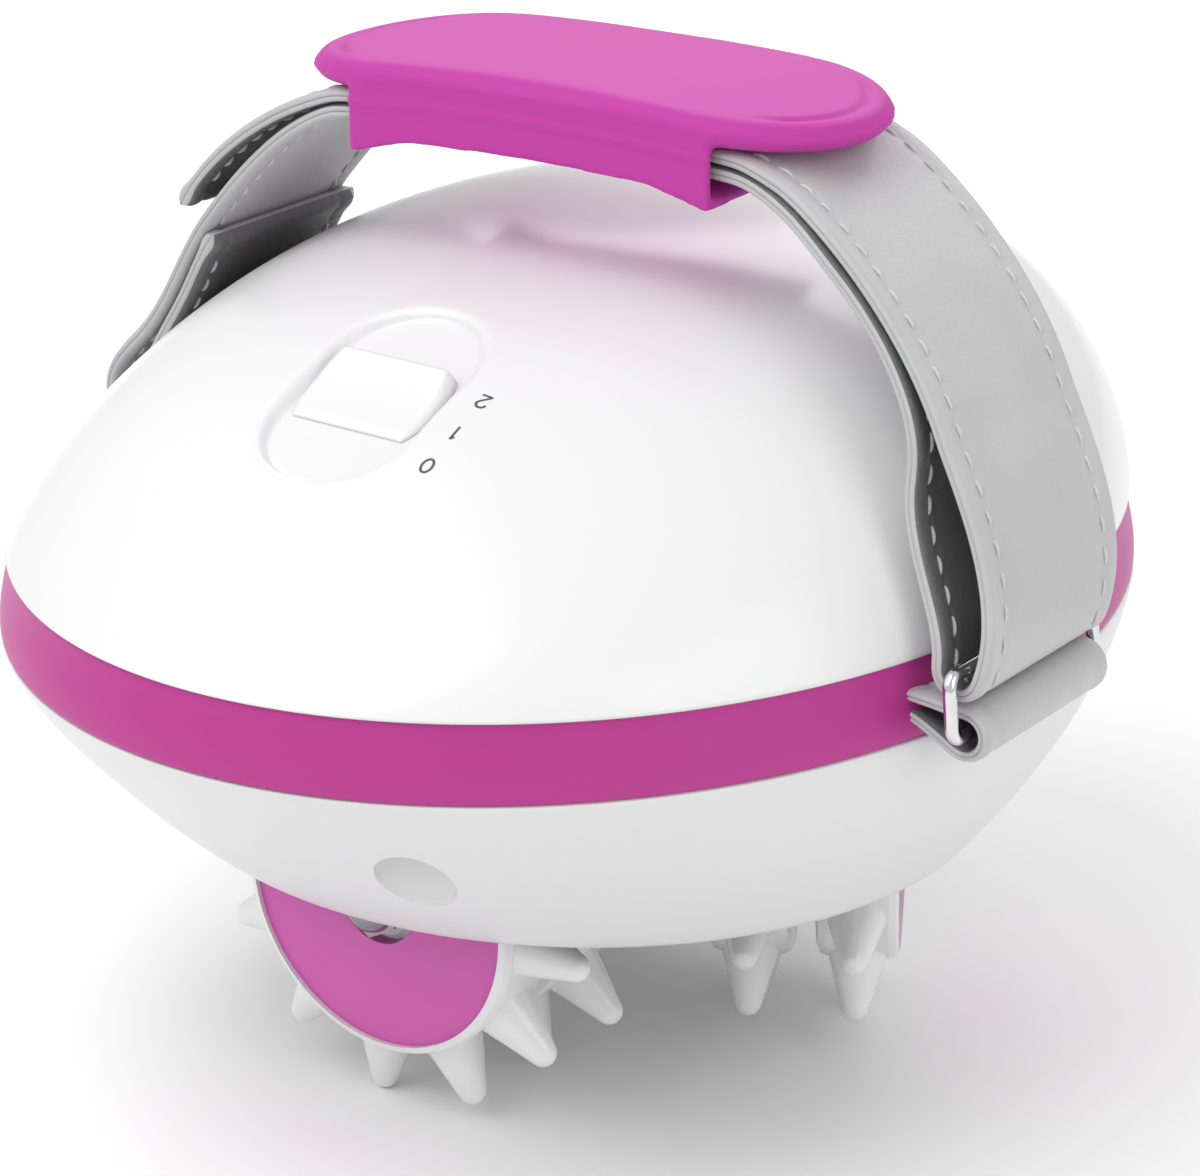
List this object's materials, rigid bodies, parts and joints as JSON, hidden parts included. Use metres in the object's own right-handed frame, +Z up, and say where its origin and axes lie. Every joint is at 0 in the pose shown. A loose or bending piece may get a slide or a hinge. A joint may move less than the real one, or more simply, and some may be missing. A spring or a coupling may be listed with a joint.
{
  "type": "hand-held roller massager",
  "caption": "Domed hand-held massager on a turning head of free studded rollers, with a slide switch, a hand strap and a grip sleeve.",
  "frame": {"origin": "on the floor under the middle of the body, where the roller head turns", "axes": "+Z up along the spindle, -Y towards the nose with the switch, +X along the strap to the side seen in the picture"},
  "size_m": [0.1427, 0.1522, 0.1212],
  "materials": {
    "white_shell": "satin white",
    "pale_shell": "satin pale grey",
    "accent": "satin magenta",
    "roller_white": "gloss white",
    "leather_grey": "soft pale grey, stitched",
    "wire": "polished",
    "steel": "turned",
    "bronze": "sintered",
    "inner_plastic": "moulded",
    "gear_plastic": "moulded",
    "dark_plastic": "moulded",
    "board_green": "lacquered"
  },
  "bodies": {
    "main_body": {"upper_housing": "white_shell", "accent_belt": "accent", "lower_housing": "pale_shell", "chassis_plate": "inner_plastic", "housing_screws": "steel", "motor": "steel", "motor_clamp": "steel", "worm_bearing": "inner_plastic", "spindle_bush": "bronze", "circuit_board": "board_green", "board_posts": "inner_plastic", "slide_switch": "dark_plastic", "supply_jack": "dark_plastic", "right_tab": "leather_grey", "left_tab": "leather_grey", "right_clip": "steel", "left_clip": "steel", "strap": "leather_grey"},
    "worm_shaft": {"motor_shaft": "steel", "drive_worm": "steel"},
    "roller_head": {"worm_wheel": "gear_plastic", "output_spindle": "steel", "roller_carrier": "inner_plastic", "roller_axles": "steel", "domed_nuts": "wire"},
    "front_roller": {"front_outer_roller": "roller_white", "front_inner_roller": "roller_white", "front_roller_cover": "accent", "front_roller_bush": "bronze"},
    "right_roller": {"right_outer_roller": "roller_white", "right_inner_roller": "roller_white", "right_roller_cover": "accent", "right_roller_bush": "bronze"},
    "left_roller": {"left_outer_roller": "roller_white", "left_inner_roller": "roller_white", "left_roller_cover": "accent", "left_roller_bush": "bronze"},
    "switch_slider": {"switch_knob": "white_shell"},
    "right_wire_ring": {"right_ring": "wire"},
    "left_wire_ring": {"left_ring": "wire"},
    "grip": {"grip_sleeve": "accent"}
  },
  "joints": [
    {"name": "head_turn", "type": "hinge", "parent": "main_body", "child": "roller_head", "pos_m": [0, 0, 0.07432], "axis": [0, 0, 1], "continuous": true},
    {"name": "worm_spin", "type": "hinge", "parent": "main_body", "child": "worm_shaft", "pos_m": [-0.02, 0, 0.07432], "axis": [0, 1, 0], "continuous": true},
    {"name": "switch_slide", "type": "slide", "parent": "main_body", "child": "switch_slider", "axis": [0, 0.9233, 0.3842], "range_m": [-0.0053, 0.0053]},
    {"name": "right_ring_swing", "type": "hinge", "parent": "main_body", "child": "right_wire_ring", "pos_m": [0.0686, -0.009, 0.06032], "axis": [0, 1, 0], "range_deg": [-4, 4]},
    {"name": "left_ring_swing", "type": "hinge", "parent": "main_body", "child": "left_wire_ring", "pos_m": [-0.0686, 0.006, 0.06032], "axis": [0, 1, 0], "range_deg": [-4, 4]},
    {"name": "grip_slide", "type": "hinge", "parent": "main_body", "child": "grip", "pos_m": [0, 0.0039, -0.20368], "axis": [-0.061, 0.9981, 0], "range_deg": [-1.17, 1.17]},
    {"name": "front_roller_spin", "type": "hinge", "parent": "roller_head", "child": "front_roller", "pos_m": [0, -0.0359, 0.02782], "axis": [0, -1, 0], "continuous": true},
    {"name": "right_roller_spin", "type": "hinge", "parent": "roller_head", "child": "right_roller", "pos_m": [0.03109, 0.01795, 0.02782], "axis": [0.866, 0.5, 0], "continuous": true},
    {"name": "left_roller_spin", "type": "hinge", "parent": "roller_head", "child": "left_roller", "pos_m": [-0.03109, 0.01795, 0.02782], "axis": [-0.866, 0.5, 0], "continuous": true}
  ],
  "couplings": [
    {"joint": "worm_spin", "follows": "head_turn", "ratio": 24}
  ]
}
